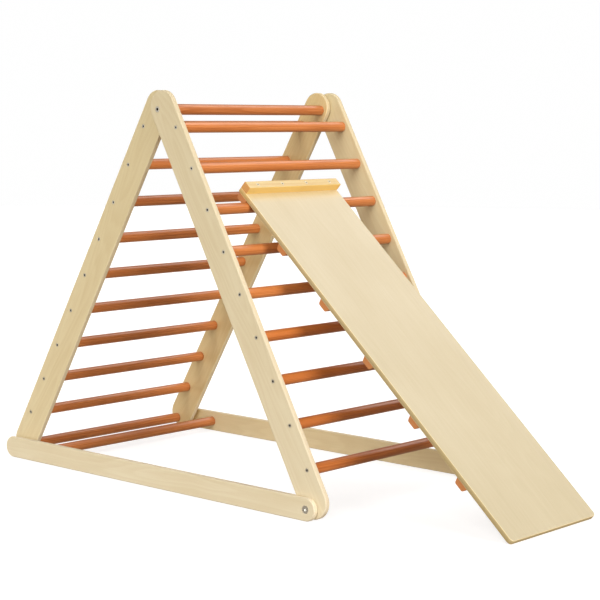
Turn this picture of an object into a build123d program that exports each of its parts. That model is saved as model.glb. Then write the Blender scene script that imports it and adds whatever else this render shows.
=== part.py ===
from build123d import *
import math
import os

os.makedirs("parts", exist_ok=True)

# ---------------------------------------------------------------- dimensions, mm
# frame: +Z up, floor at z = 0, rungs run along Y, the near side is -Y,
# the wide ladder and its ramp are on the +X side
pivot_x = -177.861        # apex axis, places the middle of the whole object at x = 0

rung_pitch = 100.0        # rung to rung along each rail
first_rung = 62.0         # apex axis to the first rung, along the rail
rung_r = 12.0             # rungs and dowels
rung_line = 32.0          # rung axes sit this far outside the apex-to-foot line
rung_chamfer = 1.0

rail_t = 12.0             # plywood rails and base bars
rail_w = 74.0
rail_mid = 15.0           # rail centreline outside the apex-to-foot line
rail_top = 2.7            # centre of the rounded top end, along the rail
outer_rail_foot = 926.0   # centre of the rounded foot end, along the rail
inner_rail_foot = 935.0
rail_round = 2.5

outer_angle = 61.0        # slope of each ladder from the floor, degrees
inner_angle = 60.0
foot_pivot = 935.0        # foot bolt from the apex axis, along the outer rail

inner_width = 518.0       # between the narrow ladder's rails
rail_gap = 1.0            # washer gap between neighbouring rails

bar_h = 50.0              # base bars
bar_pitch = 950.0         # between the centres of a bar's two rounded ends
cross_dowel_in = 104.7    # cross dowel from the bar's left end centre
socket_depth = 8.0        # cross dowel let into the bars

screw_r = 2.0             # rung screws
screw_head_r = 4.4
screw_head_t = 3.6
screw_bite = 30.0         # screw length inside the rung
fit_gap = 0.05            # radial running clearance

apex_bolt_r = 4.0
apex_head_r = 6.5
apex_head_t = 4.0
apex_bite = 40.0

foot_bolt_r = 4.0
foot_head_r = 8.5
foot_head_t = 4.0
foot_nut_r = 7.0
foot_nut_t = 3.0

peg_r = 8.0               # foot pegs of the narrow ladder
peg_reach = 5.5           # peg length inside the bar's pocket
pocket_r = 8.6
pocket_depth = 6.0
pocket_flare = 14.0       # slope of the pocket's right wall, degrees

ramp_hang_rung = 3        # the ramp hangs on this rung of the wide ladder
ramp_len = 993.0
ramp_w = 306.0
ramp_mid_y = -12.5
ramp_t = 12.0
ramp_above = 40.0         # board length uphill of the rung axis
ramp_round = 2.0
ramp_corner = 10.0
cleat_w = 21.0
cleat_t = 18.0
hook_start = 4.0          # hook block from the board's top end
hook_w = 27.0
hook_drop = 2.0           # hook lip below the rung axis
tread_w = 32.0
tread_t = 13.0
tread_inset = 2.0
tread_first = 177.0       # from the ramp's top end
tread_pitch = 164.5
tread_count = 5

# ---------------------------------------------------------------- derived
oa = math.radians(outer_angle)
ia = math.radians(inner_angle)
pivot_z = bar_h / 2 + foot_pivot * math.sin(oa)


def outer_at(along, off):
    """Point (x, z) on the wide ladder: along the rail from the apex, off outward."""
    return (pivot_x + along * math.cos(oa) + off * math.sin(oa),
            pivot_z - along * math.sin(oa) + off * math.cos(oa))


def inner_at(along, off):
    """Point (x, z) on the narrow ladder."""
    return (pivot_x - along * math.cos(ia) - off * math.sin(ia),
            pivot_z - along * math.sin(ia) + off * math.cos(ia))


y_in = inner_width / 2                # inner face of the narrow ladder's rails
y_in_out = y_in + rail_t              # its outer face
y_out = y_in_out + rail_gap           # inner face of the wide ladder's rails
y_out_out = y_out + rail_t
y_bar = y_out_out + rail_gap          # inner face of the base bars
y_bar_out = y_bar + rail_t

outer_rungs = [outer_at(first_rung + k * rung_pitch, rung_line) for k in range(9)]
inner_rungs = [inner_at(first_rung + k * rung_pitch, rung_line) for k in range(9)]
apex_pt = (pivot_x, pivot_z)
foot_pt = outer_at(foot_pivot, 0)
bar_left = (foot_pt[0] - bar_pitch, bar_h / 2)
dowel_pt = (bar_left[0] + cross_dowel_in, bar_h / 2)


def side_plane(y, x_dir=(1, 0, 0), at=(0, 0)):
    """Plane facing -Y at the given y, local x to the right and local y up."""
    return Plane(origin=(at[0], y, at[1]), x_dir=x_dir, z_dir=(0, -1, 0))


def outward(x, y, z):
    """Location on a side face, its Z pointing out of the face."""
    return Location(Plane(origin=(x, y, z), x_dir=(1, 0, 0), z_dir=(0, 1 if y > 0 else -1, 0)))


def rims(part):
    """Edges around the two broad side faces of a flat piece lying in XZ."""
    groups = part.edges().group_by(Axis.Y)
    return groups[0] + groups[-1]


# ================================================================ wide outer ladder
outer_top = outer_at(rail_top, rail_mid)
outer_foot = outer_at(outer_rail_foot, rail_mid)
outer_mid = ((outer_top[0] + outer_foot[0]) / 2, (outer_top[1] + outer_foot[1]) / 2)

with BuildPart() as outer_rail_near:
    with BuildSketch(side_plane(-y_out)):
        with Locations(outer_mid):
            SlotCenterToCenter(outer_rail_foot - rail_top, rail_w, rotation=-outer_angle)
    extrude(amount=rail_t)
    fillet(rims(outer_rail_near), radius=rail_round)
    # rung screws, heads sunk in the outer face
    with Locations(*[outward(x, -y_out_out, z) for x, z in outer_rungs]):
        CounterBoreHole(screw_r + fit_gap, screw_head_r + 0.1, screw_head_t + 0.2, rail_t)
    # apex bolt turns in this rail
    with Locations(outward(apex_pt[0], -y_out_out, apex_pt[1])):
        CounterBoreHole(apex_bolt_r + fit_gap, apex_head_r + 0.2, apex_head_t + 0.2, rail_t)
    # foot bolt, with the sleeve nut's flange let into the inner face
    with Locations(outward(foot_pt[0], -y_out_out, foot_pt[1])):
        Hole(foot_bolt_r + fit_gap, rail_t)
    with BuildSketch(side_plane(-y_out)):
        with Locations(foot_pt):
            Circle(foot_nut_r + fit_gap)
    extrude(amount=foot_nut_t + 0.2, mode=Mode.SUBTRACT)
outer_rail_near.part.label = "outer_rail_near"
export_step(outer_rail_near.part, "parts/outer_rail_near.step")

with BuildPart() as outer_rail_far:
    with BuildSketch(side_plane(y_out_out)):
        with Locations(outer_mid):
            SlotCenterToCenter(outer_rail_foot - rail_top, rail_w, rotation=-outer_angle)
    extrude(amount=rail_t)
    fillet(rims(outer_rail_far), radius=rail_round)
    with Locations(*[outward(x, y_out_out, z) for x, z in outer_rungs]):
        CounterBoreHole(screw_r + fit_gap, screw_head_r + 0.1, screw_head_t + 0.2, rail_t)
    with Locations(outward(apex_pt[0], y_out_out, apex_pt[1])):
        CounterBoreHole(apex_bolt_r + fit_gap, apex_head_r + 0.2, apex_head_t + 0.2, rail_t)
    with Locations(outward(foot_pt[0], y_out_out, foot_pt[1])):
        Hole(foot_bolt_r + fit_gap, rail_t)
    with BuildSketch(side_plane(y_out + foot_nut_t + 0.2)):
        with Locations(foot_pt):
            Circle(foot_nut_r + fit_gap)
    extrude(amount=foot_nut_t + 0.2, mode=Mode.SUBTRACT)
outer_rail_far.part.label = "outer_rail_far"
export_step(outer_rail_far.part, "parts/outer_rail_far.step")

for number, (x, z) in enumerate(outer_rungs, start=1):
    with BuildPart() as outer_rung:
        with BuildSketch(side_plane(y_out)):
            with Locations((x, z)):
                Circle(rung_r)
        extrude(amount=2 * y_out)
        chamfer(outer_rung.edges().filter_by(GeomType.CIRCLE), length=rung_chamfer)
        with Locations(outward(x, y_out, z), outward(x, -y_out, z)):
            Hole(screw_r + fit_gap, screw_bite + 1)
    outer_rung.part.label = f"outer_rung_{number:02d}"
    export_step(outer_rung.part, f"parts/outer_rung_{number:02d}.step")

with BuildPart() as outer_ladder_screws:
    for sign in (-1, 1):
        for x, z in outer_rungs:
            face = Plane(origin=(x, sign * (y_out_out - 0.1), z), x_dir=(1, 0, 0), z_dir=(0, sign, 0))
            with BuildSketch(face):
                Circle(screw_head_r)
            extrude(amount=-screw_head_t)
            with BuildSketch(face.offset(-screw_head_t)):
                Circle(screw_r)
            extrude(amount=-(rail_t - 0.1 - screw_head_t + screw_bite))
            with BuildSketch(face):
                RegularPolygon(2.3, 6)
            extrude(amount=-2.2, mode=Mode.SUBTRACT)
outer_ladder_screws.part.label = "outer_ladder_screws"
export_step(outer_ladder_screws.part, "parts/outer_ladder_screws.step")

# foot bolts carry the base bars and are held in the wide ladder's rails
with BuildPart() as foot_bolts:
    for sign in (-1, 1):
        face = Plane(origin=(foot_pt[0], sign * (y_bar_out - 0.2), foot_pt[1]), x_dir=(1, 0, 0), z_dir=(0, sign, 0))
        with BuildSketch(face):
            Circle(foot_head_r)
        extrude(amount=-foot_head_t)
        with BuildSketch(face.offset(-foot_head_t)):
            Circle(foot_bolt_r)
        extrude(amount=-(y_bar_out - 0.2 - foot_head_t - y_out - 1.0))
        with BuildSketch(face):
            RegularPolygon(3.6, 6)
        extrude(amount=-2.6, mode=Mode.SUBTRACT)
foot_bolts.part.label = "foot_bolts"
export_step(foot_bolts.part, "parts/foot_bolts.step")

with BuildPart() as foot_nuts:
    for sign in (-1, 1):
        face = Plane(origin=(foot_pt[0], sign * (y_out + 0.1), foot_pt[1]), x_dir=(1, 0, 0), z_dir=(0, sign, 0))
        with BuildSketch(face):
            Circle(foot_nut_r)
            Circle(foot_bolt_r + fit_gap, mode=Mode.SUBTRACT)
        extrude(amount=foot_nut_t)
foot_nuts.part.label = "foot_nuts"
export_step(foot_nuts.part, "parts/foot_nuts.step")

# ================================================================ narrow inner ladder
inner_top = inner_at(rail_top, rail_mid)
inner_foot = inner_at(inner_rail_foot, rail_mid)
inner_mid = ((inner_top[0] + inner_foot[0]) / 2, (inner_top[1] + inner_foot[1]) / 2)
inner_screw_pts = inner_rungs + [apex_pt, bar_left]

with BuildPart() as inner_rail_near:
    with BuildSketch(side_plane(-y_in)):
        with Locations(inner_mid):
            SlotCenterToCenter(inner_rail_foot - rail_top, rail_w, rotation=inner_angle)
    extrude(amount=rail_t)
    fillet(rims(inner_rail_near), radius=rail_round)
    with Locations(*[outward(x, -y_in_out, z) for x, z in inner_rungs]):
        CounterBoreHole(screw_r + fit_gap, screw_head_r + 0.1, screw_head_t + 0.2, rail_t)
    with Locations(outward(apex_pt[0], -y_in_out, apex_pt[1]), outward(bar_left[0], -y_in_out, bar_left[1])):
        Hole(apex_bolt_r + fit_gap, rail_t)
inner_rail_near.part.label = "inner_rail_near"
export_step(inner_rail_near.part, "parts/inner_rail_near.step")

with BuildPart() as inner_rail_far:
    with BuildSketch(side_plane(y_in_out)):
        with Locations(inner_mid):
            SlotCenterToCenter(inner_rail_foot - rail_top, rail_w, rotation=inner_angle)
    extrude(amount=rail_t)
    fillet(rims(inner_rail_far), radius=rail_round)
    with Locations(*[outward(x, y_in_out, z) for x, z in inner_rungs]):
        CounterBoreHole(screw_r + fit_gap, screw_head_r + 0.1, screw_head_t + 0.2, rail_t)
    with Locations(outward(apex_pt[0], y_in_out, apex_pt[1]), outward(bar_left[0], y_in_out, bar_left[1])):
        Hole(apex_bolt_r + fit_gap, rail_t)
inner_rail_far.part.label = "inner_rail_far"
export_step(inner_rail_far.part, "parts/inner_rail_far.step")

for number, (x, z) in enumerate(inner_rungs, start=1):
    with BuildPart() as inner_rung:
        with BuildSketch(side_plane(y_in)):
            with Locations((x, z)):
                Circle(rung_r)
        extrude(amount=2 * y_in)
        chamfer(inner_rung.edges().filter_by(GeomType.CIRCLE), length=rung_chamfer)
        with Locations(outward(x, y_in, z), outward(x, -y_in, z)):
            Hole(screw_r + fit_gap, screw_bite + 1)
    inner_rung.part.label = f"inner_rung_{number:02d}"
    export_step(inner_rung.part, f"parts/inner_rung_{number:02d}.step")

with BuildPart() as apex_rung:
    with BuildSketch(side_plane(y_in)):
        with Locations(apex_pt):
            Circle(rung_r)
    extrude(amount=2 * y_in)
    chamfer(apex_rung.edges().filter_by(GeomType.CIRCLE), length=rung_chamfer)
    with Locations(outward(apex_pt[0], y_in, apex_pt[1]), outward(apex_pt[0], -y_in, apex_pt[1])):
        Hole(apex_bolt_r + fit_gap, apex_bite + 1)
apex_rung.part.label = "apex_rung"
export_step(apex_rung.part, "parts/apex_rung.step")

with BuildPart() as inner_foot_dowel:
    with BuildSketch(side_plane(y_in)):
        with Locations(bar_left):
            Circle(rung_r)
    extrude(amount=2 * y_in)
    chamfer(inner_foot_dowel.edges().filter_by(GeomType.CIRCLE), length=rung_chamfer)
    with Locations(outward(bar_left[0], y_in, bar_left[1]), outward(bar_left[0], -y_in, bar_left[1])):
        Hole(apex_bolt_r + fit_gap, apex_bite + 1)
inner_foot_dowel.part.label = "inner_foot_dowel"
export_step(inner_foot_dowel.part, "parts/inner_foot_dowel.step")

with BuildPart() as inner_ladder_screws:
    for sign in (-1, 1):
        for x, z in inner_rungs:
            face = Plane(origin=(x, sign * (y_in_out - 0.1), z), x_dir=(1, 0, 0), z_dir=(0, sign, 0))
            with BuildSketch(face):
                Circle(screw_head_r)
            extrude(amount=-screw_head_t)
            with BuildSketch(face.offset(-screw_head_t)):
                Circle(screw_r)
            extrude(amount=-(rail_t - 0.1 - screw_head_t + screw_bite))
            with BuildSketch(face):
                RegularPolygon(2.3, 6)
            extrude(amount=-2.2, mode=Mode.SUBTRACT)
inner_ladder_screws.part.label = "inner_ladder_screws"
export_step(inner_ladder_screws.part, "parts/inner_ladder_screws.step")

# apex bolts: turn in the wide ladder's rails, fixed in the narrow ladder and its apex rung
with BuildPart() as apex_bolts:
    for sign in (-1, 1):
        face = Plane(origin=(apex_pt[0], sign * (y_out_out - 0.1), apex_pt[1]), x_dir=(1, 0, 0), z_dir=(0, sign, 0))
        with BuildSketch(face):
            Circle(apex_head_r)
        extrude(amount=-apex_head_t)
        with BuildSketch(face.offset(-apex_head_t)):
            Circle(apex_bolt_r)
        extrude(amount=-(y_out_out - 0.1 - apex_head_t - y_in + apex_bite))
        with BuildSketch(face):
            RegularPolygon(3.4, 6)
        extrude(amount=-2.6, mode=Mode.SUBTRACT)
apex_bolts.part.label = "apex_bolts"
export_step(apex_bolts.part, "parts/apex_bolts.step")

with BuildPart() as apex_washers:
    for sign in (-1, 1):
        face = Plane(origin=(apex_pt[0], sign * (y_in_out + fit_gap), apex_pt[1]), x_dir=(1, 0, 0), z_dir=(0, sign, 0))
        with BuildSketch(face):
            Circle(12)
            Circle(apex_bolt_r + fit_gap, mode=Mode.SUBTRACT)
        extrude(amount=rail_gap - 2 * fit_gap)
apex_washers.part.label = "apex_washers"
export_step(apex_washers.part, "parts/apex_washers.step")

# foot pegs: shoulder pins screwed through the rails into the foot dowel
with BuildPart() as foot_pegs:
    for sign in (-1, 1):
        face = Plane(origin=(bar_left[0], sign * (y_in_out + fit_gap), bar_left[1]), x_dir=(1, 0, 0), z_dir=(0, sign, 0))
        with BuildSketch(face):
            Circle(peg_r)
        extrude(amount=y_bar + peg_reach - y_in_out - fit_gap)
        with BuildSketch(face):
            Circle(apex_bolt_r)
        extrude(amount=-(rail_t + fit_gap + apex_bite))
    chamfer(foot_pegs.edges().filter_by(GeomType.CIRCLE).group_by(Axis.Y)[0]
            + foot_pegs.edges().filter_by(GeomType.CIRCLE).group_by(Axis.Y)[-1], length=1.0)
foot_pegs.part.label = "foot_pegs"
export_step(foot_pegs.part, "parts/foot_pegs.step")

# ================================================================ base frame
bar_mid = ((bar_left[0] + foot_pt[0]) / 2, bar_h / 2)
flare = math.tan(math.radians(pocket_flare))
pocket_outline = [
    (bar_left[0] - pocket_r, bar_left[1]),
    (bar_left[0] + pocket_r, bar_left[1]),
    (bar_left[0] + pocket_r + flare * (bar_h / 2 + 2), bar_h + 2),
    (bar_left[0] - pocket_r, bar_h + 2),
]

with BuildPart() as base_bar_near:
    with BuildSketch(side_plane(-y_bar)):
        with Locations(bar_mid):
            SlotCenterToCenter(bar_pitch, bar_h)
    extrude(amount=rail_t)
    fillet(rims(base_bar_near), radius=rail_round)
    # foot bolt
    with Locations(outward(foot_pt[0], -y_bar_out, foot_pt[1])):
        CounterBoreHole(foot_bolt_r + fit_gap, foot_head_r + 0.2, foot_head_t + 0.4, rail_t)
    # open pocket for the narrow ladder's foot peg, in the inner face
    with BuildSketch(side_plane(-y_bar)):
        with BuildLine():
            Polyline(*pocket_outline, close=True)
        make_face()
        with Locations(bar_left):
            Circle(pocket_r)
    extrude(amount=pocket_depth, mode=Mode.SUBTRACT)
    # socket for the cross dowel
    with BuildSketch(side_plane(-y_bar)):
        with Locations(dowel_pt):
            Circle(rung_r + fit_gap)
    extrude(amount=socket_depth + 0.1, mode=Mode.SUBTRACT)
base_bar_near.part.label = "base_bar_near"
export_step(base_bar_near.part, "parts/base_bar_near.step")

with BuildPart() as base_bar_far:
    with BuildSketch(side_plane(y_bar_out)):
        with Locations(bar_mid):
            SlotCenterToCenter(bar_pitch, bar_h)
    extrude(amount=rail_t)
    fillet(rims(base_bar_far), radius=rail_round)
    with Locations(outward(foot_pt[0], y_bar_out, foot_pt[1])):
        CounterBoreHole(foot_bolt_r + fit_gap, foot_head_r + 0.2, foot_head_t + 0.4, rail_t)
    with BuildSketch(side_plane(y_bar + pocket_depth)):
        with BuildLine():
            Polyline(*pocket_outline, close=True)
        make_face()
        with Locations(bar_left):
            Circle(pocket_r)
    extrude(amount=pocket_depth, mode=Mode.SUBTRACT)
    with BuildSketch(side_plane(y_bar + socket_depth + 0.1)):
        with Locations(dowel_pt):
            Circle(rung_r + fit_gap)
    extrude(amount=socket_depth + 0.1, mode=Mode.SUBTRACT)
base_bar_far.part.label = "base_bar_far"
export_step(base_bar_far.part, "parts/base_bar_far.step")

with BuildPart() as base_cross_dowel:
    with BuildSketch(side_plane(y_bar + socket_depth)):
        with Locations(dowel_pt):
            Circle(rung_r)
    extrude(amount=2 * (y_bar + socket_depth))
    chamfer(base_cross_dowel.edges().filter_by(GeomType.CIRCLE), length=rung_chamfer)
base_cross_dowel.part.label = "base_cross_dowel"
export_step(base_cross_dowel.part, "parts/base_cross_dowel.step")

with BuildPart() as foot_washers:
    for sign in (-1, 1):
        face = Plane(origin=(foot_pt[0], sign * (y_out_out + fit_gap), foot_pt[1]), x_dir=(1, 0, 0), z_dir=(0, sign, 0))
        with BuildSketch(face):
            Circle(12)
            Circle(foot_bolt_r + fit_gap, mode=Mode.SUBTRACT)
        extrude(amount=rail_gap - 2 * fit_gap)
foot_washers.part.label = "foot_washers"
export_step(foot_washers.part, "parts/foot_washers.step")

# ================================================================ ramp
hang = outer_rungs[ramp_hang_rung - 1]
under = rung_r + fit_gap                      # board's lower face above the rung axis
reach = ramp_len - ramp_above                 # rung axis to the board's lower end
# slope at which the rounded lower edge touches the floor
ramp_angle = (math.asin((hang[1] - ramp_round) / math.hypot(reach - ramp_round, under + ramp_round))
              + math.atan2(under + ramp_round, reach - ramp_round))
ramp_dir = (math.cos(ramp_angle), 0, -math.sin(ramp_angle))
y_ramp_hi = ramp_mid_y + ramp_w / 2
y_ramp_lo = ramp_mid_y - ramp_w / 2
up_normal = (math.sin(ramp_angle), 0, math.cos(ramp_angle))


def ramp_plane(y):
    """Side plane of the ramp: local x down the slope, local y up off the board, zero on the rung axis."""
    return side_plane(y, x_dir=ramp_dir, at=hang)


def ramp_face(s, y, m, up=True):
    """Plane lying on or under the ramp at s down the slope, across y, m off the rung axis."""
    origin = (hang[0] + s * ramp_dir[0] + m * up_normal[0], y, hang[1] + s * ramp_dir[2] + m * up_normal[2])
    k = 1 if up else -1
    return Plane(origin=origin, x_dir=ramp_dir, z_dir=(k * up_normal[0], 0, k * up_normal[2]))


cleat_screw_y = [ramp_mid_y + k * 80.0 for k in (-1.5, -0.5, 0.5, 1.5)]
cleat_screw_s = -ramp_above + cleat_w / 2
cleat_screw_len = cleat_t + ramp_t + 10.0     # from the head's top into the hook block
tread_s = [-ramp_above + tread_first + k * tread_pitch for k in range(tread_count)]
tread_screw_y = [ramp_mid_y + k * 120.0 for k in (-1, 0, 1)]
tread_bite = 8.0

with BuildPart() as ramp_board:
    with BuildSketch(ramp_plane(y_ramp_hi)):
        with Locations(((reach - ramp_above) / 2, under + ramp_t / 2)):
            Rectangle(ramp_len, ramp_t)
    extrude(amount=ramp_w)
    fillet(ramp_board.edges().filter_by(Axis(origin=(0, 0, 0), direction=up_normal))
           .sort_by(Axis(origin=(0, 0, 0), direction=ramp_dir))[-2:], radius=ramp_corner)
    fillet(ramp_board.edges().group_by(Axis(origin=(0, 0, 0), direction=up_normal))[0]
           + ramp_board.edges().group_by(Axis(origin=(0, 0, 0), direction=up_normal))[-1], radius=ramp_round)
    for y in cleat_screw_y:
        with BuildSketch(ramp_face(cleat_screw_s, y, under)):
            Circle(screw_r + fit_gap)
        extrude(amount=ramp_t, mode=Mode.SUBTRACT)
    for s in tread_s:
        for y in tread_screw_y:
            with BuildSketch(ramp_face(s, y, under)):
                Circle(screw_r + fit_gap)
            extrude(amount=tread_bite + 0.5, mode=Mode.SUBTRACT)
ramp_board.part.label = "ramp_board"
export_step(ramp_board.part, "parts/ramp_board.step")

with BuildPart() as ramp_top_cleat:
    with BuildSketch(ramp_plane(y_ramp_hi)):
        with Locations((-ramp_above + cleat_w / 2, under + ramp_t + cleat_t / 2)):
            Rectangle(cleat_w, cleat_t)
    extrude(amount=ramp_w)
    fillet(ramp_top_cleat.edges().group_by(Axis(origin=(0, 0, 0), direction=up_normal))[-1], radius=1.5)
    for y in cleat_screw_y:
        with BuildSketch(ramp_face(cleat_screw_s, y, under + ramp_t)):
            Circle(screw_r + fit_gap)
        extrude(amount=cleat_t, mode=Mode.SUBTRACT)
        with BuildSketch(ramp_face(cleat_screw_s, y, under + ramp_t + cleat_t)):
            Circle(screw_head_r + 0.1)
        extrude(amount=-(screw_head_t + 0.2), mode=Mode.SUBTRACT)
ramp_top_cleat.part.label = "ramp_top_cleat"
export_step(ramp_top_cleat.part, "parts/ramp_top_cleat.step")

with BuildPart() as ramp_hook_block:
    with BuildSketch(ramp_plane(y_ramp_hi - tread_inset)):
        with Locations((-ramp_above + hook_start + hook_w / 2, (under - hook_drop) / 2)):
            Rectangle(hook_w, under + hook_drop)
        Circle(rung_r + fit_gap, mode=Mode.SUBTRACT)
    extrude(amount=ramp_w - 2 * tread_inset)
    fillet(ramp_hook_block.edges().group_by(Axis(origin=(0, 0, 0), direction=up_normal))[0]
           .filter_by(Axis.Y).sort_by(Axis(origin=(0, 0, 0), direction=ramp_dir))[0], radius=5)
    for y in cleat_screw_y:
        with BuildSketch(ramp_face(cleat_screw_s, y, under)):
            Circle(screw_r + fit_gap)
        extrude(amount=-(cleat_screw_len - cleat_t - ramp_t + 0.5), mode=Mode.SUBTRACT)
ramp_hook_block.part.label = "ramp_hook_block"
export_step(ramp_hook_block.part, "parts/ramp_hook_block.step")

for number, s in enumerate(tread_s, start=1):
    with BuildPart() as ramp_tread:
        with BuildSketch(ramp_plane(y_ramp_hi - tread_inset)):
            with BuildLine():
                Polyline((s - tread_w / 2, under), (s + tread_w / 2, under),
                         (s + tread_w / 2 - 4, under - tread_t), (s - tread_w / 2 + 4, under - tread_t), close=True)
            make_face()
        extrude(amount=ramp_w - 2 * tread_inset)
        fillet(ramp_tread.edges().group_by(Axis(origin=(0, 0, 0), direction=up_normal))[0].filter_by(Axis.Y), radius=5)
        for y in tread_screw_y:
            with BuildSketch(ramp_face(s, y, under)):
                Circle(screw_r + fit_gap)
            extrude(amount=-tread_t, mode=Mode.SUBTRACT)
            with BuildSketch(ramp_face(s, y, under - tread_t)):
                Circle(screw_head_r + 0.1)
            extrude(amount=screw_head_t + 0.2, mode=Mode.SUBTRACT)
    ramp_tread.part.label = f"ramp_tread_{number}"
    export_step(ramp_tread.part, f"parts/ramp_tread_{number}.step")

with BuildPart() as ramp_cleat_screws:
    for y in cleat_screw_y:
        top = ramp_face(cleat_screw_s, y, under + ramp_t + cleat_t - 0.1)
        with BuildSketch(top):
            Circle(screw_head_r)
        extrude(amount=-screw_head_t)
        with BuildSketch(top.offset(-screw_head_t)):
            Circle(screw_r)
        extrude(amount=-(cleat_screw_len - 0.1 - screw_head_t))
        with BuildSketch(top):
            RegularPolygon(2.3, 6)
        extrude(amount=-2.2, mode=Mode.SUBTRACT)
ramp_cleat_screws.part.label = "ramp_cleat_screws"
export_step(ramp_cleat_screws.part, "parts/ramp_cleat_screws.step")

with BuildPart() as ramp_tread_screws:
    for s in tread_s:
        for y in tread_screw_y:
            low = ramp_face(s, y, under - tread_t + 0.1, up=False)
            with BuildSketch(low):
                Circle(screw_head_r)
            extrude(amount=-screw_head_t)
            with BuildSketch(low.offset(-screw_head_t)):
                Circle(screw_r)
            extrude(amount=-(tread_t - 0.1 - screw_head_t + tread_bite))
            with BuildSketch(low):
                RegularPolygon(2.3, 6)
            extrude(amount=-2.2, mode=Mode.SUBTRACT)
ramp_tread_screws.part.label = "ramp_tread_screws"
export_step(ramp_tread_screws.part, "parts/ramp_tread_screws.step")
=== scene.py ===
import math
import random

import bpy
from mathutils import Matrix, Vector


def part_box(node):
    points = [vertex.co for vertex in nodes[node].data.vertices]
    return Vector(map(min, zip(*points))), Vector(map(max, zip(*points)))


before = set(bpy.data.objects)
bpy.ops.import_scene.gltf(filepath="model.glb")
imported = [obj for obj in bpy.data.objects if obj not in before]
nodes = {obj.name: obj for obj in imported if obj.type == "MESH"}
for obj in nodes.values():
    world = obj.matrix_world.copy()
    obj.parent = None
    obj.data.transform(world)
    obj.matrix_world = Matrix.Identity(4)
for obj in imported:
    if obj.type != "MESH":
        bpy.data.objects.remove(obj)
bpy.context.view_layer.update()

scene = bpy.context.scene

# ---------------------------------------------------------------- the frame's own directions, metres
OUTER = math.radians(61.0)                 # slope of the wide ladder
INNER = math.radians(60.0)                 # slope of the narrow ladder


def centre_of(node):
    lo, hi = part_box(node)
    return (lo + hi) / 2


hang = centre_of("outer_rung_03")          # the ramp hangs on this rung
board_lo, board_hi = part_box("ramp_board")


def ramp_slope():
    """Slope of the ramp, from its lowest and highest tread."""
    a, b = centre_of("ramp_tread_1"), centre_of("ramp_tread_5")
    return math.atan2(a.z - b.z, b.x - a.x)


RAMP = ramp_slope()


# ---------------------------------------------------------------- node helpers
class Tree:
    """Short calls for building a node tree. An argument is a socket or a plain value."""

    def __init__(self, nt):
        self.nt = nt

    def node(self, kind, **settings):
        n = self.nt.nodes.new(kind)
        for k, v in settings.items():
            setattr(n, k, v)
        return n

    def put(self, socket, value):
        if isinstance(value, bpy.types.NodeSocket):
            self.nt.links.new(value, socket)
        elif value is not None:
            if hasattr(socket, "default_value"):
                if isinstance(value, (tuple, list)) and len(value) == 3 and socket.type == "RGBA":
                    value = (*value, 1.0)
                socket.default_value = value
        return socket

    def math(self, op, a, b=None, c=None, clamp=False):
        n = self.node("ShaderNodeMath", operation=op, use_clamp=clamp)
        for s, v in zip(n.inputs, (a, b, c)):
            self.put(s, v)
        return n.outputs[0]

    def vec(self, op, a, b=None, scale=None):
        n = self.node("ShaderNodeVectorMath", operation=op)
        self.put(n.inputs[0], a)
        if b is not None:
            self.put(n.inputs[1], b)
        if scale is not None:
            self.put(n.inputs["Scale"], scale)
        return n.outputs["Value"] if op in ("LENGTH", "DOT_PRODUCT", "DISTANCE") else n.outputs[0]

    def split(self, v):
        n = self.node("ShaderNodeSeparateXYZ")
        self.put(n.inputs[0], v)
        return n.outputs

    def join(self, x, y, z):
        n = self.node("ShaderNodeCombineXYZ")
        for s, v in zip(n.inputs, (x, y, z)):
            self.put(s, v)
        return n.outputs[0]

    def noise(self, v, scale=1.0, detail=2.0, rough=0.5, distortion=0.0):
        n = self.node("ShaderNodeTexNoise", noise_dimensions="3D")
        self.put(n.inputs["Vector"], v)
        self.put(n.inputs["Scale"], scale)
        self.put(n.inputs["Detail"], detail)
        self.put(n.inputs["Roughness"], rough)
        self.put(n.inputs["Distortion"], distortion)
        return n.outputs["Fac"]

    def span(self, v, a, b, c=0.0, d=1.0, smooth=False):
        n = self.node("ShaderNodeMapRange", interpolation_type="SMOOTHSTEP" if smooth else "LINEAR", clamp=True)
        for s, x in zip(n.inputs, (v, a, b, c, d)):
            self.put(s, x)
        return n.outputs[0]

    def mix(self, fac, a, b, how="MIX"):
        n = self.node("ShaderNodeMix", data_type="RGBA", blend_type=how, clamp_factor=True)
        self.put(n.inputs["Factor"], fac)
        self.put(n.inputs[6], a)
        self.put(n.inputs[7], b)
        return n.outputs[2]

    def blend(self, fac, a, b):
        n = self.node("ShaderNodeMix", data_type="FLOAT", clamp_factor=True)
        self.put(n.inputs["Factor"], fac)
        self.put(n.inputs[2], a)
        self.put(n.inputs[3], b)
        return n.outputs[0]


def group(name, inputs, outputs):
    """A node group with typed inputs [(name, kind, default)] and outputs [(name, kind)]; returns its tree, input sockets and output node."""
    g = bpy.data.node_groups.new(name, "ShaderNodeTree")
    for n, kind, default in inputs:
        s = g.interface.new_socket(n, in_out="INPUT", socket_type=kind)
        if default is not None:
            s.default_value = (*default, 1.0) if kind == "NodeSocketColor" else default
    for n, kind in outputs:
        g.interface.new_socket(n, in_out="OUTPUT", socket_type=kind)
    t = Tree(g)
    start, end = t.node("NodeGroupInput"), t.node("NodeGroupOutput")
    return t, start.outputs, end


def srgb(r, g, b):
    """Linear colour from 0-255 display values."""
    out = []
    for v in (r, g, b):
        v /= 255.0
        out.append(v / 12.92 if v <= 0.04045 else ((v + 0.055) / 1.055) ** 2.4)
    return tuple(out)


# ---------------------------------------------------------------- plywood
# Along runs down the piece, Across over its width, Depth through its plies from 0. Odd plies run crosswise, so a long
# edge shows their end grain and a rounded end shows the other plies' end grain.
PLY = 0.012 / 9

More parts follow.
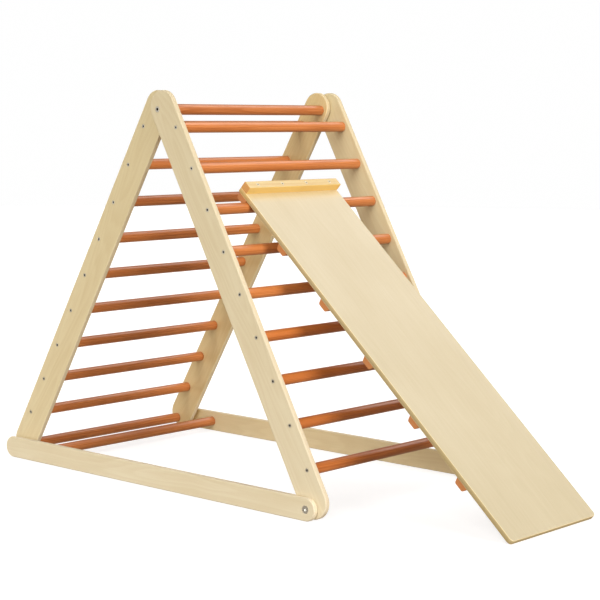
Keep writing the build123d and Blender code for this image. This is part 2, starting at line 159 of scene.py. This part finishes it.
t, i, o = group("plywood", [
    ("Along", "NodeSocketFloat", 0.0), ("Across", "NodeSocketFloat", 0.0), ("Depth", "NodeSocketFloat", 0.0),
    ("Normal", "NodeSocketVector", (0, 0, 1)), ("Seed", "NodeSocketFloat", 0.0),
    ("Light", "NodeSocketColor", (0.7, 0.6, 0.4)), ("Dark", "NodeSocketColor", (0.6, 0.5, 0.3)),
    ("End grain", "NodeSocketColor", (0.4, 0.28, 0.14)), ("Figure", "NodeSocketFloat", 1.0),
    ("Edge", "NodeSocketColor", (0.8, 0.74, 0.6)), ("Arris", "NodeSocketColor", (0.8, 0.74, 0.6)), ("Stripes", "NodeSocketFloat", 0.0),
], [("Color", "NodeSocketColor"), ("Height", "NodeSocketFloat"), ("Roughness", "NodeSocketFloat"), ("Gloss", "NodeSocketFloat")])

ply = t.math("FLOOR", t.math("MINIMUM", t.math("MAXIMUM", t.math("DIVIDE", i["Depth"], PLY), 0.02), 8.98))
odd = t.math("MODULO", ply, 2.0)
inner_ply = t.math("MULTIPLY", t.math("GREATER_THAN", ply, 0.5), t.math("LESS_THAN", ply, 7.5))
grain = t.blend(odd, i["Along"], i["Across"])
cross = t.blend(odd, i["Across"], i["Along"])
shift = t.math("MULTIPLY_ADD", ply, 1.731, i["Seed"])
n = t.split(i["Normal"])
end = t.span(t.math("ABSOLUTE", t.blend(odd, n[0], n[1])), 0.35, 0.95, smooth=True)

# lazy waves in the fibre direction
wander = t.noise(t.join(t.math("MULTIPLY", grain, 5.0), t.math("MULTIPLY", cross, 9.0), shift), 1.0, 2.0, 0.5)
cross_w = t.math("MULTIPLY_ADD", t.math("SUBTRACT", wander, 0.5), 0.016, cross)
# rotary-cut figure: contour lines of a slow height field, loops and long tongues along the grain
field = t.noise(t.join(t.math("MULTIPLY", grain, 1.5), t.math("MULTIPLY", cross_w, 13.0), t.math("ADD", shift, 7.0)), 1.0, 1.5, 0.45)
rings = t.math("FRACT", t.math("MULTIPLY", field, 17.0))
rings = t.math("MULTIPLY", t.span(rings, 0.0, 0.72, smooth=True), t.span(rings, 0.78, 1.0, 1.0, 0.0, smooth=True))
bands = t.noise(t.join(t.math("MULTIPLY", grain, 0.9), t.math("MULTIPLY", cross_w, 26.0), shift), 1.0, 3.0, 0.55)
streaks = t.noise(t.join(t.math("MULTIPLY", grain, 9.0), t.math("MULTIPLY", cross_w, 240.0), shift), 1.0, 4.0, 0.6)
fibre = t.noise(t.join(t.math("MULTIPLY", grain, 70.0), t.math("MULTIPLY", cross_w, 1700.0), shift), 1.0, 3.0, 0.65)
flecks = t.span(t.noise(t.join(t.math("MULTIPLY", grain, 130.0), t.math("MULTIPLY", cross_w, 1100.0), t.math("ADD", shift, 3.0)), 1.0, 1.0, 0.4),
                0.70, 0.80, smooth=True)
cloud = t.noise(t.join(t.math("MULTIPLY", i["Along"], 6.0), t.math("MULTIPLY", i["Across"], 11.0), t.math("ADD", shift, 5.0)), 1.0, 3.0, 0.5)

tone = t.math("MULTIPLY", t.span(bands, 0.28, 0.72), 0.30)
tone = t.math("ADD", tone, t.math("MULTIPLY", t.span(streaks, 0.25, 0.75), 0.30))
tone = t.math("ADD", tone, t.math("MULTIPLY", t.math("MULTIPLY", rings, i["Figure"]), 0.26))
tone = t.math("ADD", tone, t.math("MULTIPLY", t.span(cloud, 0.3, 0.7), 0.30))
tone = t.math("ADD", tone, t.math("MULTIPLY", t.span(fibre, 0.2, 0.8, -0.5, 0.5), 0.20), clamp=True)
face = t.mix(tone, i["Light"], i["Dark"])
face = t.mix(t.math("MULTIPLY", flecks, 0.32), face, i["End grain"])

# end grain: small dark pores in rows, and a soft step of tone from ply to ply
pores = t.noise(t.join(t.math("MULTIPLY", i["Along"], 1500.0), t.math("MULTIPLY", i["Across"], 1500.0), t.math("MULTIPLY", i["Depth"], 1500.0)), 1.0, 2.0, 0.6)
ply_tone = t.node("ShaderNodeTexWhiteNoise", noise_dimensions="1D")
t.put(ply_tone.inputs["W"], t.math("ADD", ply, i["Seed"]))
edge = t.mix(t.span(pores, 0.35, 0.7), i["End grain"], t.mix(0.45, i["End grain"], i["Light"]))
edge = t.mix(t.math("MULTIPLY", ply_tone.outputs["Value"], 0.35), edge, i["Light"])
colour = t.mix(t.math("MULTIPLY", end, 0.62), face, edge)
# glue lines between plies, seen only where the edge cuts them
within = t.math("FRACT", t.math("DIVIDE", i["Depth"], PLY))
line = t.math("MAXIMUM", t.span(within, 0.0, 0.10, 1.0, 0.0, smooth=True), t.span(within, 0.90, 1.0, smooth=True))
side = t.span(t.math("ABSOLUTE", n[2]), 0.55, 0.92, 1.0, 0.0, smooth=True)
line = t.math("MULTIPLY", line, side)
colour = t.mix(t.math("MULTIPLY", side, t.math("SUBTRACT", 0.85, t.math("MULTIPLY", end, 0.50))), colour, i["Edge"])
# the lower plies of some sheets are darker wood
dark_plies = t.math("MULTIPLY", t.span(i["Depth"], 0.0022, 0.0030, smooth=True), t.span(i["Depth"], 0.0056, 0.0064, 1.0, 0.0, smooth=True))
dark_plies = t.math("MULTIPLY", t.math("MULTIPLY", dark_plies, side), i["Stripes"])
colour = t.mix(dark_plies, colour, t.mix(0.45, i["Edge"], (0.14, 0.08, 0.03)))
colour = t.mix(t.math("MULTIPLY", line, 0.26), colour, t.mix(0.5, i["End grain"], (0.12, 0.06, 0.025)))
# sanded arris, a touch paler and duller than the faces; on the board its paleness is partly a painted highlight of the
# rounded edge catching light
arris = t.math("MULTIPLY", t.span(t.math("ABSOLUTE", n[2]), 0.25, 0.55, smooth=True), t.span(t.math("ABSOLUTE", n[2]), 0.80, 0.98, 1.0, 0.0, smooth=True))
colour = t.mix(t.math("MULTIPLY", arris, 0.55), colour, i["Arris"])

height = t.math("MULTIPLY", fibre, 0.5)
height = t.math("ADD", height, t.math("MULTIPLY", streaks, 0.35))
height = t.math("SUBTRACT", height, t.math("MULTIPLY", flecks, 0.5))
height = t.math("ADD", height, t.math("MULTIPLY", t.math("MULTIPLY", pores, end), 0.9))
height = t.math("SUBTRACT", height, t.math("MULTIPLY", line, 0.7))
rough = t.math("ADD", t.span(cloud, 0.25, 0.75, 0.44, 0.56), t.math("MULTIPLY", end, 0.16))
rough = t.math("ADD", rough, t.math("MULTIPLY", t.span(streaks, 0.3, 0.7, -0.5, 0.5), 0.10))
t.put(o.inputs["Color"], colour)
t.put(o.inputs["Height"], height)
t.put(o.inputs["Roughness"], t.math("ADD", rough, t.math("MULTIPLY", side, 0.20)))
t.put(o.inputs["Gloss"], t.math("SUBTRACT", 1.0, t.math("MULTIPLY", side, 0.80)))
PLYWOOD = t.nt

# ---------------------------------------------------------------- solid wood, stained or clear
# X and Y lie across the grain in metres from the piece's own middle, Along with it. Growth rings are cut from a log whose
# heart is Heart away, so the long faces show streaks and tongues and the ends show the rings themselves.
t, i, o = group("solid_wood", [
    ("X", "NodeSocketFloat", 0.0), ("Y", "NodeSocketFloat", 0.0), ("Along", "NodeSocketFloat", 0.0),
    ("End", "NodeSocketFloat", 0.0), ("Heart", "NodeSocketVector", (0.05, 0.02, 0.0)), ("Ring", "NodeSocketFloat", 0.0026),
    ("Seed", "NodeSocketFloat", 0.0), ("Early", "NodeSocketColor", (0.6, 0.25, 0.08)), ("Late", "NodeSocketColor", (0.35, 0.1, 0.03)),
    ("Ends", "NodeSocketColor", (0.3, 0.1, 0.03)), ("Pores", "NodeSocketFloat", 1.0), ("Contrast", "NodeSocketFloat", 1.0),
], [("Color", "NodeSocketColor"), ("Height", "NodeSocketFloat"), ("Roughness", "NodeSocketFloat")])

here = t.join(i["X"], i["Y"], 0.0)
bow = t.noise(t.join(t.math("MULTIPLY", i["X"], 20.0), t.math("MULTIPLY", i["Y"], 20.0), t.math("MULTIPLY_ADD", i["Along"], 2.6, i["Seed"])), 1.0, 2.0, 0.5)
radius = t.vec("LENGTH", t.vec("SUBTRACT", here, i["Heart"]))
radius = t.math("ADD", radius, t.math("MULTIPLY", t.math("SUBTRACT", bow, 0.5), 0.011))
turn = t.math("FRACT", t.math("DIVIDE", radius, i["Ring"]))
late = t.math("MULTIPLY", t.span(turn, 0.15, 0.85, smooth=True), t.span(turn, 0.86, 0.99, 1.0, 0.0, smooth=True))
streaks = t.noise(t.join(t.math("MULTIPLY", i["X"], 380.0), t.math("MULTIPLY", i["Y"], 380.0), t.math("MULTIPLY_ADD", i["Along"], 7.0, i["Seed"])), 1.0, 4.0, 0.62)
wide = t.noise(t.join(t.math("MULTIPLY", i["X"], 90.0), t.math("MULTIPLY", i["Y"], 90.0), t.math("MULTIPLY_ADD", i["Along"], 3.0, i["Seed"])), 1.0, 2.0, 0.5)
fibre = t.noise(t.join(t.math("MULTIPLY", i["X"], 1900.0), t.math("MULTIPLY", i["Y"], 1900.0), t.math("MULTIPLY_ADD", i["Along"], 60.0, i["Seed"])), 1.0, 3.0, 0.6)
pore = t.span(t.noise(t.join(t.math("MULTIPLY", i["X"], 1300.0), t.math("MULTIPLY", i["Y"], 1300.0), t.math("MULTIPLY_ADD", i["Along"], 95.0, t.math("ADD", i["Seed"], 4.0))), 1.0, 1.0, 0.5),
              0.66, 0.78, smooth=True)
pore = t.math("MULTIPLY", pore, i["Pores"])
blotch = t.noise(t.join(t.math("MULTIPLY", i["X"], 30.0), t.math("MULTIPLY", i["Y"], 30.0), t.math("MULTIPLY_ADD", i["Along"], 9.0, t.math("ADD", i["Seed"], 9.0))), 1.0, 3.0, 0.5)
tone = t.math("MULTIPLY", late, 0.42)
tone = t.math("ADD", tone, t.math("MULTIPLY", t.span(streaks, 0.28, 0.72), 0.38))
tone = t.math("ADD", tone, t.math("MULTIPLY", t.span(wide, 0.3, 0.7), 0.22))
tone = t.math("ADD", tone, t.math("MULTIPLY", t.span(blotch, 0.3, 0.7, -0.5, 0.5), 0.22))
tone = t.math("MULTIPLY_ADD", t.math("SUBTRACT", tone, 0.5), i["Contrast"], 0.5, clamp=True)
colour = t.mix(tone, i["Early"], i["Late"])
colour = t.mix(t.math("MULTIPLY", t.span(fibre, 0.3, 0.75), 0.16), colour, i["Late"])
colour = t.mix(t.math("MULTIPLY", pore, 0.42), colour, t.mix(0.55, i["Late"], (0.03, 0.012, 0.006)))
ends = t.mix(t.math("MULTIPLY", late, 0.55), i["Ends"], i["Late"])
colour = t.mix(t.math("MULTIPLY", i["End"], 0.85), colour, ends)
height = t.math("ADD", t.math("MULTIPLY", fibre, 0.45), t.math("MULTIPLY", streaks, 0.40))
height = t.math("SUBTRACT", height, t.math("MULTIPLY", pore, 0.7))
height = t.math("SUBTRACT", height, t.math("MULTIPLY", late, 0.12))
rough = t.math("ADD", t.span(blotch, 0.3, 0.7, 0.0, 0.10), t.math("MULTIPLY", i["End"], 0.22))
rough = t.math("ADD", rough, t.math("MULTIPLY", pore, 0.12))
t.put(o.inputs["Color"], colour)
t.put(o.inputs["Height"], height)
t.put(o.inputs["Roughness"], rough)
SOLID = t.nt


def shell(name):
    """A new material with a bare Principled shader; returns (material, tree, shader)."""
    m = bpy.data.materials.new(name)
    m.use_nodes = True
    nt = m.node_tree
    nt.nodes.clear()
    t = Tree(nt)
    out = t.node("ShaderNodeOutputMaterial")
    p = t.node("ShaderNodeBsdfPrincipled")
    nt.links.new(p.outputs[0], out.inputs[0])
    return m, t, p


def turned(t, socket, angle):
    """The vector turned about Y, so that its x runs down the slope and its z stands off it."""
    n = t.node("ShaderNodeVectorRotate", rotation_type="Y_AXIS")
    t.put(n.inputs["Vector"], socket)
    t.put(n.inputs["Angle"], angle)
    return t.split(n.outputs[0])


def spin(v, angle):
    """What turned() gives for a point, in numbers: used to place the pattern."""
    x, y, z = v
    return Vector((x * math.cos(angle) + z * math.sin(angle), y, -x * math.sin(angle) + z * math.cos(angle)))


def finish_wood(m, t, p, g, base_rough, coat, coat_rough, bump):
    t.put(p.inputs["Base Color"], g.outputs["Color"])
    t.put(p.inputs["Roughness"], t.math("ADD", g.outputs["Roughness"], base_rough, clamp=True))
    b = t.node("ShaderNodeBump")
    t.put(b.inputs["Strength"], 1.0)
    t.put(b.inputs["Distance"], bump)
    t.put(b.inputs["Height"], g.outputs["Height"])
    t.put(p.inputs["Normal"], b.outputs[0])
    t.put(p.inputs["Specular IOR Level"], 0.45)
    t.put(p.inputs["Coat Weight"], coat)
    t.put(p.inputs["Coat Roughness"], coat_rough)
    t.put(p.inputs["Coat IOR"], 1.5)
    return m


def plywood(name, angle, depth_axis, depth_from, seed, light, dark, end, edge, arris, figure=1.0, stripes=0.0):
    """Plywood for a piece whose length runs down a slope of that angle. depth_axis is y or z of the turned frame."""
    m, t, p = shell(name)
    c = t.node("ShaderNodeTexCoord")
    v = turned(t, c.outputs["Object"], angle)
    n = turned(t, c.outputs["Normal"], angle)
    g = t.node("ShaderNodeGroup", node_tree=PLYWOOD)
    t.put(g.inputs["Along"], v[0])
    if depth_axis == "y":
        t.put(g.inputs["Across"], v[2])
        t.put(g.inputs["Depth"], t.math("SUBTRACT", t.math("ABSOLUTE", v[1]), depth_from))
        t.put(g.inputs["Normal"], t.join(n[0], n[2], n[1]))
    else:
        t.put(g.inputs["Across"], v[1])
        t.put(g.inputs["Depth"], t.math("SUBTRACT", v[2], depth_from))
        t.put(g.inputs["Normal"], t.join(n[0], n[1], n[2]))
    t.put(g.inputs["Seed"], seed)
    t.put(g.inputs["Light"], (*light, 1.0))
    t.put(g.inputs["Dark"], (*dark, 1.0))
    t.put(g.inputs["End grain"], (*end, 1.0))
    t.put(g.inputs["Figure"], figure)
    t.put(g.inputs["Edge"], (*edge, 1.0))
    t.put(g.inputs["Arris"], (*arris, 1.0))
    t.put(g.inputs["Stripes"], stripes)
    finish_wood(m, t, p, g, 0.0, 0.18, 0.32, 0.00011)
    t.put(p.inputs["Specular IOR Level"], t.math("MULTIPLY", g.outputs["Gloss"], 0.45))
    t.put(p.inputs["Coat Weight"], t.math("MULTIPLY", g.outputs["Gloss"], 0.18))
    if depth_axis == "y":                  # painted shade: rails and bars are darker and yellower towards the top of the frame, lighter towards its foot
        up = t.span(t.split(c.outputs["Object"])[2], 0.0, 0.86)
        t.put(p.inputs["Base Color"], t.mix(1.0, g.outputs["Color"], t.mix(up, (1.05, 1.06, 1.10), (0.94, 0.94, 0.91)), how="MULTIPLY"))
    return m


def solid(name, middle, along, seed, heart, early, late, ends, ring=0.0026, angle=0.0, pores=1.0, contrast=1.0, rough=0.36, coat=0.35):
    """Solid wood whose grain runs along Y. middle is the piece's own centre."""
    m, t, p = shell(name)
    c = t.node("ShaderNodeTexCoord")
    v = turned(t, c.outputs["Object"], angle)
    n = turned(t, c.outputs["Normal"], angle)
    mid = spin(middle, angle)
    g = t.node("ShaderNodeGroup", node_tree=SOLID)
    t.put(g.inputs["X"], t.math("SUBTRACT", v[0], mid.x))
    t.put(g.inputs["Y"], t.math("SUBTRACT", v[2], mid.z))
    t.put(g.inputs["Along"], v[1])
    t.put(g.inputs["End"], t.span(t.math("ABSOLUTE", n[1]), 0.6, 0.9, smooth=True))
    t.put(g.inputs["Heart"], heart)
    t.put(g.inputs["Ring"], ring)
    t.put(g.inputs["Seed"], seed)
    t.put(g.inputs["Early"], (*early, 1.0))
    t.put(g.inputs["Late"], (*late, 1.0))
    t.put(g.inputs["Ends"], (*ends, 1.0))
    t.put(g.inputs["Pores"], pores)
    t.put(g.inputs["Contrast"], contrast)
    return finish_wood(m, t, p, g, rough, coat, 0.22, 0.00008)


def steel(name, tint=(0.62, 0.61, 0.59), rough=0.30, face=None, angle=0.0):
    """Zinc-plated steel, with a fine cast, small scuffs and a slightly darker film in places. face is how far the heads
    stand along Y from the middle, or along the ramp's normal where an angle is given: their sockets are painted
    near-black inside as painted shade."""
    m, t, p = shell(name)
    c = t.node("ShaderNodeTexCoord")
    v = c.outputs["Object"]
    film = t.noise(v, 260.0, 3.0, 0.55)
    fine = t.noise(v, 2600.0, 3.0, 0.6)
    s = t.split(v)
    scuff = t.span(t.noise(t.join(t.math("MULTIPLY", s[0], 900.0), t.math("MULTIPLY", s[1], 5200.0), t.math("MULTIPLY", s[2], 900.0)), 1.0, 2.0, 0.6), 0.60, 0.74, smooth=True)
    colour = t.mix(t.span(film, 0.35, 0.7), tint, tuple(x * 0.72 for x in tint))
    colour = t.mix(t.math("MULTIPLY", scuff, 0.5), colour, (0.80, 0.79, 0.76))
    if face is not None:
        out = t.math("ABSOLUTE", s[1]) if angle == 0.0 else turned(t, v, angle)[2]
        # painted shade: the sockets are near-black inside
        socket_shade = t.span(t.math("SUBTRACT", face, out), 0.0002, 0.0009, smooth=True)
        colour = t.mix(t.math("MULTIPLY", socket_shade, 0.93), colour, (0.03, 0.026, 0.02))
    t.put(p.inputs["Base Color"], colour)
    t.put(p.inputs["Metallic"], 1.0)
    r = t.math("ADD", t.span(film, 0.3, 0.7, rough - 0.06, rough + 0.12), t.math("MULTIPLY", scuff, 0.12))
    t.put(p.inputs["Roughness"], r)
    b = t.node("ShaderNodeBump")
    t.put(b.inputs["Distance"], 0.00003)
    t.put(b.inputs["Height"], t.math("ADD", fine, t.math("MULTIPLY", scuff, 0.6)))
    t.put(p.inputs["Normal"], b.outputs[0])
    return m


def dress(node, material):
    slot = nodes[node].material_slots[0]
    slot.link = "OBJECT"
    slot.material = material


# ---------------------------------------------------------------- colours
PLY_LIGHT = srgb(232, 219, 186)
PLY_DARK = srgb(219, 201, 163)
PLY_END = srgb(196, 164, 112)
BOARD_LIGHT = srgb(188, 174, 144)
BOARD_DARK = srgb(179, 164, 133)
BOARD_END = srgb(172, 140, 92)
RAIL_EDGE = (0.56, 0.48, 0.35)
BAR_EDGE = (0.66, 0.58, 0.42)
BOARD_EDGE = srgb(202, 180, 130)
# the board's arris colour is partly a painted highlight of its rounded edge
BOARD_ARRIS = (0.86, 0.72, 0.46)
RUNG_EARLY = srgb(205, 128, 70)
RUNG_LATE = srgb(164, 88, 32)
RUNG_ENDS = srgb(160, 86, 36)
TREAD_EARLY = srgb(222, 156, 102)
TREAD_LATE = srgb(194, 120, 70)
TREAD_ENDS = srgb(200, 130, 72)
PINE_EARLY = srgb(240, 206, 124)
PINE_LATE = srgb(221, 173, 90)
PINE_ENDS = srgb(206, 142, 80)

rng = random.Random(7)


def tinted(colour, by):
    """The colour made lighter or darker, and a little redder when darker."""
    r, g, b = colour
    return (min(1.0, r * (1 + by)), min(1.0, g * (1 + by * 1.12)), min(1.0, b * (1 + by * 1.2)))


# ---------------------------------------------------------------- plywood pieces
rail_faces = {
    "outer_rail": (-OUTER, min(abs(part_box("outer_rail_far")[0].y), abs(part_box("outer_rail_far")[1].y))),
    "inner_rail": (-(math.pi - INNER), min(abs(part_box("inner_rail_far")[0].y), abs(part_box("inner_rail_far")[1].y))),
    "base_bar": (0.0, min(abs(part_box("base_bar_far")[0].y), abs(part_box("base_bar_far")[1].y))),
}
for k, (stem, (angle, y0)) in enumerate(rail_faces.items()):
    for j, where in enumerate(("near", "far")):
        # painted shade: the inner rails are darker, and they and the far pieces are yellower, for the shade they stand
        # in
        by = rng.uniform(-0.025, 0.02) - (0.05 if stem == "inner_rail" else 0.0)
        rail_shade_tint = {"inner_rail_near": (1.0, 0.97, 0.86), "inner_rail_far": (1.06, 0.96, 0.72), "base_bar_far": (0.98, 0.92, 0.80),
                "outer_rail_far": (0.97, 0.95, 0.86)}.get(f"{stem}_{where}", (1.0, 1.0, 1.0))
        light, dark = (tuple(a * b for a, b in zip(tinted(x, by), rail_shade_tint)) for x in (PLY_LIGHT, PLY_DARK))
        dress(f"{stem}_{where}", plywood(
            f"birch_ply_{stem}_{where}", angle, "y", y0, 11.3 * (2 * k + j) + 2.1,
            light, dark, PLY_END, BAR_EDGE if stem == "base_bar" else RAIL_EDGE,
            tuple((a + 2 * b) / 3 for a, b in zip(light, RAIL_EDGE))))

board_corner = spin((hang.x, 0, hang.z), -RAMP)
board = plywood("board_ply_ramp", -RAMP, "z", board_corner.z + 0.01205, 91.7,
                BOARD_LIGHT, BOARD_DARK, BOARD_END, BOARD_EDGE, BOARD_ARRIS, figure=0.6, stripes=0.55)
t = Tree(board.node_tree)
p = next(n for n in board.node_tree.nodes if n.type == "BSDF_PRINCIPLED")
down = turned(t, next(n for n in board.node_tree.nodes if n.type == "TEX_COORD").outputs["Object"], -RAMP)[0]
# painted light: the board is lighter towards its top end and darker towards its foot
board_light_falloff = t.span(t.math("SUBTRACT", down, board_corner.x), -0.05, 0.90)
veneer = p.inputs["Base Color"].links[0].from_socket
veneer = t.mix(1.0, veneer, t.mix(board_light_falloff, (1.06, 1.07, 1.10), (0.97, 0.97, 0.94)), how="MULTIPLY")
cleat_glow = t.span(t.math("SUBTRACT", down, board_corner.x), -0.019, 0.014, 1.0, 0.0, smooth=True)     # painted reflection: the board is yellower just below the cleat, for the light its lit front throws there
t.put(p.inputs["Base Color"], t.mix(t.math("MULTIPLY", cleat_glow, 0.9), veneer, t.mix(1.0, veneer, (1.16, 1.04, 0.76), how="MULTIPLY")))
dress("ramp_board", board)

# ---------------------------------------------------------------- stained rungs, dowels, treads, hook block
names = sorted(n for n in nodes if "_rung" in n or "dowel" in n or n.startswith("ramp_tread_") and n[-1].isdigit())
for name in names + ["ramp_hook_block"]:
    by = rng.uniform(-0.10, 0.08)
    a = rng.uniform(0, 2 * math.pi)
    far = rng.uniform(0.03, 0.09)
    on_ramp = name.startswith("ramp_")
    by += 0.14 if name.startswith("inner_rung") else 0.0
    # painted shade and light: inner_rung_03 is darkened for the shadow on it, outer_rung_04 and outer_rung_05 lightened
    # for the light and sheen on them
    by += {"inner_rung_03": -0.26, "outer_rung_04": 0.06, "outer_rung_05": 0.16}.get(name, 0.0)
    # painted shade: rungs 6 to 9, under the ramp, are made warmer and more saturated for the ramp's shade on them
    under_ramp_shade = (0.98, 0.88, 0.70) if name in ("outer_rung_06", "outer_rung_07", "outer_rung_08", "outer_rung_09") else (1.0, 1.0, 1.0)
    early, late, ends = (TREAD_EARLY, TREAD_LATE, TREAD_ENDS) if on_ramp else (RUNG_EARLY, RUNG_LATE, RUNG_ENDS)
    dress(name, solid(
        f"rung_wood_{name}", centre_of(name), "y", rng.uniform(0, 60), (far * math.cos(a), far * math.sin(a), 0.0),
        *(tuple(a * b for a, b in zip(tinted(x, by), under_ramp_shade)) for x in (early, late)), ends,
        ring=rng.uniform(0.0022, 0.0034), angle=-RAMP if on_ramp else 0.0))

cleat = solid("pine_top_cleat", centre_of("ramp_top_cleat"), "y", 33.0, (0.02, -0.07, 0.0),
              PINE_EARLY, PINE_LATE, PINE_ENDS, ring=0.0036, angle=-RAMP, pores=0.25, contrast=0.8, rough=0.40, coat=0.25)
t = Tree(cleat.node_tree)
p = next(n for n in cleat.node_tree.nodes if n.type == "BSDF_PRINCIPLED")
top = turned(t, next(n for n in cleat.node_tree.nodes if n.type == "TEX_COORD").outputs["Normal"], -RAMP)[2]
pine = p.inputs["Base Color"].links[0].from_socket
top_sheen_grey = t.mix(1.0, pine, (0.67, 0.73, 0.97), how="MULTIPLY")         # painted reflection: the top face is greyer than the front, standing for the pale sheen it catches from above
t.put(p.inputs["Base Color"], t.mix(t.span(top, 0.5, 0.9, smooth=True), pine, top_sheen_grey))
dress("ramp_top_cleat", cleat)

# ---------------------------------------------------------------- metal
RING = (0.74, 0.70, 0.60)
for name in ("outer_ladder_screws", "inner_ladder_screws", "apex_bolts"):
    dress(name, steel(f"steel_{name}", RING, 0.36, face=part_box(name)[1].y))
dress("ramp_cleat_screws", steel("steel_ramp_cleat_screws", (0.60, 0.53, 0.39), 0.42))
dress("ramp_tread_screws", steel("steel_ramp_tread_screws", RING, 0.36))
for name in ("foot_bolts", "foot_nuts", "foot_pegs"):
    dress(name, steel(f"steel_{name}", (0.84, 0.83, 0.79), 0.26))
for name in ("apex_washers", "foot_washers"):
    dress(name, steel(f"steel_{name}", (0.60, 0.59, 0.57), 0.32))

# ---------------------------------------------------------------- floor
mesh = bpy.data.meshes.new("floor")
mesh.from_pydata([(-14, -14, -0.0004), (14, -14, -0.0004), (14, 14, -0.0004), (-14, 14, -0.0004)], [], [(0, 1, 2, 3)])
floor = bpy.data.objects.new("floor", mesh)
scene.collection.objects.link(floor)
m, t, p = shell("floor_paper")
c = t.node("ShaderNodeTexCoord")
t.put(p.inputs["Base Color"], t.mix(t.noise(c.outputs["Object"], 3.0, 3.0, 0.5), (0.39, 0.39, 0.39), (0.41, 0.41, 0.41)))
t.put(p.inputs["Roughness"], 0.9)
t.put(p.inputs["Specular IOR Level"], 0.0)
t.put(p.inputs["Emission Color"], (1.0, 1.0, 1.0))
t.put(p.inputs["Emission Strength"], 0.76)
mesh.materials.append(m)
floor.visible_diffuse = False             # the light from below comes from the world, softer than the paper looks
floor.visible_glossy = False

# ---------------------------------------------------------------- backdrop
# A plain white shell far round everything. It casts no light or shadow: those come from the world and the lamps.
rings, spokes, reach = 24, 48, 11.0
points = [(reach * math.sin(math.pi * a / rings) * math.cos(2 * math.pi * b / spokes),
           reach * math.sin(math.pi * a / rings) * math.sin(2 * math.pi * b / spokes),
           reach * math.cos(math.pi * a / rings)) for a in range(1, rings) for b in range(spokes)]
quads = [(a * spokes + b, a * spokes + (b + 1) % spokes, (a + 1) * spokes + (b + 1) % spokes, (a + 1) * spokes + b)
         for a in range(rings - 2) for b in range(spokes)]
points += [(0, 0, reach), (0, 0, -reach)]
last = (rings - 2) * spokes
quads += [(len(points) - 2, (b + 1) % spokes, b) for b in range(spokes)]
quads += [(len(points) - 1, last + b, last + (b + 1) % spokes) for b in range(spokes)]
mesh = bpy.data.meshes.new("backdrop")
mesh.from_pydata(points, [], quads)
backdrop = bpy.data.objects.new("backdrop", mesh)
scene.collection.objects.link(backdrop)
m, t, p = shell("backdrop_paper")
c = t.node("ShaderNodeTexCoord")
t.put(p.inputs["Base Color"], (0.0, 0.0, 0.0))
t.put(p.inputs["Specular IOR Level"], 0.0)
t.put(p.inputs["Emission Color"], t.mix(t.noise(c.outputs["Object"], 0.4, 2.0, 0.5), (0.995, 0.995, 0.995), (1.0, 1.0, 1.0)))
t.put(p.inputs["Emission Strength"], 1.0)
mesh.materials.append(m)
backdrop.visible_diffuse = False
backdrop.visible_glossy = False
backdrop.visible_transmission = False
backdrop.visible_shadow = False

# ---------------------------------------------------------------- camera
cam_data = bpy.data.cameras.new("camera")
cam = bpy.data.objects.new("camera", cam_data)
scene.collection.objects.link(cam)
cam_data.sensor_width = 36.0
cam_data.sensor_fit = "HORIZONTAL"
cam_data.lens = 102.174
az, el, roll = math.radians(41.716), math.radians(6.392), math.radians(0.450)
forward = Vector((-math.sin(az) * math.cos(el), math.cos(az) * math.cos(el), -math.sin(el)))
right0 = Vector((math.cos(az), math.sin(az), 0.0))
up0 = right0.cross(forward)
right = right0 * math.cos(roll) + up0 * math.sin(roll)
up = -right0 * math.sin(roll) + up0 * math.cos(roll)
cam.matrix_world = Matrix((
    (right.x, up.x, -forward.x, 2.55436),
    (right.y, up.y, -forward.y, -2.87420),
    (right.z, up.z, -forward.z, 0.84530),
    (0, 0, 0, 1)))
cam_data.clip_start, cam_data.clip_end = 0.05, 60.0
scene.camera = cam

# ---------------------------------------------------------------- light
# A dim room with a white band round the horizon, left open behind the ramp, and four large soft sources: one low, square
# to the rungs on the ramp's side, one higher, in front of the near side, a weak high one behind for the rungs' tops, and a
# weak low one for the side away from the ramp.
world = bpy.data.worlds.new("studio")
world.use_nodes = True
t = Tree(world.node_tree)
back = world.node_tree.nodes["Background"]
c = t.node("ShaderNodeTexCoord")
height = t.split(c.outputs["Generated"])[2]
sides = t.split(c.outputs["Generated"])
gap = t.math("MULTIPLY", t.span(sides[0], -0.25, 0.15, smooth=True), t.span(sides[1], -0.25, 0.10, smooth=True))
band = t.mix(t.math("MULTIPLY", gap, 0.9), (1.0, 1.0, 1.0), (0.17, 0.15, 0.12))
above = t.mix(t.span(height, 0.11, 0.24, smooth=True), band, (0.17, 0.15, 0.12))
t.put(back.inputs[0], t.mix(t.span(height, -0.16, -0.07, smooth=True), (0.34, 0.275, 0.185), above))
back.inputs[1].default_value = 1.0
scene.world = world


def soft_sun(name, azimuth, elevation, strength, size, colour=(1, 1, 1)):
    """A distant round source seen from the object at that azimuth (0 is +X, 90 is +Y) and elevation, size degrees across."""
    data = bpy.data.lights.new(name, "SUN")
    data.energy = strength
    data.angle = math.radians(size)
    data.color = colour
    ob = bpy.data.objects.new(name, data)
    scene.collection.objects.link(ob)
    a, e = math.radians(azimuth), math.radians(elevation)
    towards = Vector((math.cos(a) * math.cos(e), math.sin(a) * math.cos(e), math.sin(e)))
    ob.location = towards * 4
    ob.rotation_mode = "QUATERNION"
    ob.rotation_quaternion = towards.to_track_quat("Z", "Y")
    return ob


soft_sun("key", 0.0, 17.0, 2.9, 28.0)
soft_sun("front", 288.0, 30.0, 2.1, 45.0)
soft_sun("sheen", 80.0, 50.0, 1.0, 42.0)
soft_sun("back", 164.0, 15.0, 1.1, 40.0)

scene.view_settings.view_transform = "Standard"
scene.view_settings.look = "None"
scene.view_settings.exposure = 0.0
scene.view_settings.gamma = 1.0
